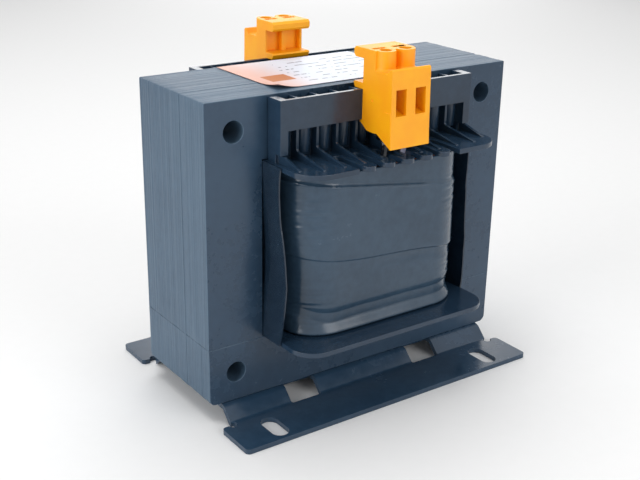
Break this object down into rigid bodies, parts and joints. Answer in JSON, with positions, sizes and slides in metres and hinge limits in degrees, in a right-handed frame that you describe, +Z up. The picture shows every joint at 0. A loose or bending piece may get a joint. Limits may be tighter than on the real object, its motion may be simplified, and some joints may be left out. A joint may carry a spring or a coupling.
{
  "type": "laminated chassis transformer",
  "caption": "Open chassis transformer: laminated iron core on bent foot rails, with a wrapped coil on a moulded former and a screw terminal block at the front and the rear.",
  "frame": {"origin": "on the ground plane, midway between the four foot slots, under the middle of the core", "axes": "+Z up from the feet, X along the foot rails, Y through the stack of sheets with the front terminal block at -Y"},
  "size_m": [0.12, 0.088, 0.1182],
  "materials": {
    "varnished_core": "slate blue-grey varnish over electrical steel, semi-gloss",
    "varnished_steel": "slate blue-grey varnish over sheet steel, semi-gloss",
    "former_plastic": "dark moulded polyamide under varnish",
    "copper_winding": "enamelled copper wire",
    "layer_film": "polyester film and paper",
    "wrap_film": "film wrap under slate varnish",
    "strip_board": "varnished pressboard",
    "orange_plastic": "orange polyamide, satin",
    "clamp_metal": "nickel-plated",
    "screw_metal": "zinc-plated steel",
    "lead_copper": "enamelled copper",
    "sleeve_black": "black insulating sleeve, glossy with varnish",
    "strip_grey": "grey-violet insulated strip",
    "label_film": "printed paper label, satin"
  },
  "bodies": {
    "root": {"e_core": "varnished_core", "i_core": "varnished_core", "front_foot_rail": "varnished_steel", "rear_foot_rail": "varnished_steel", "rail_welds": "varnished_steel", "coil_former": "former_plastic", "primary_winding": "copper_winding", "layer_insulation": "layer_film", "secondary_winding": "copper_winding", "coil_wrap": "wrap_film", "left_insulation_strip": "strip_board", "right_insulation_strip": "strip_board", "front_terminal_housing": "orange_plastic", "front_clamp_bodies": "clamp_metal", "front_clamp_screws": "screw_metal", "front_solder_tags": "clamp_metal", "rear_terminal_housing": "orange_plastic", "rear_clamp_bodies": "clamp_metal", "rear_clamp_screws": "screw_metal", "rear_solder_tags": "clamp_metal", "front_wire_lead": "lead_copper", "front_lead_sleeve": "sleeve_black", "front_strip_lead": "strip_grey", "rear_wire_leads": "lead_copper", "rear_lead_sleeves": "sleeve_black", "rating_label": "label_film"}
  },
  "joints": []
}
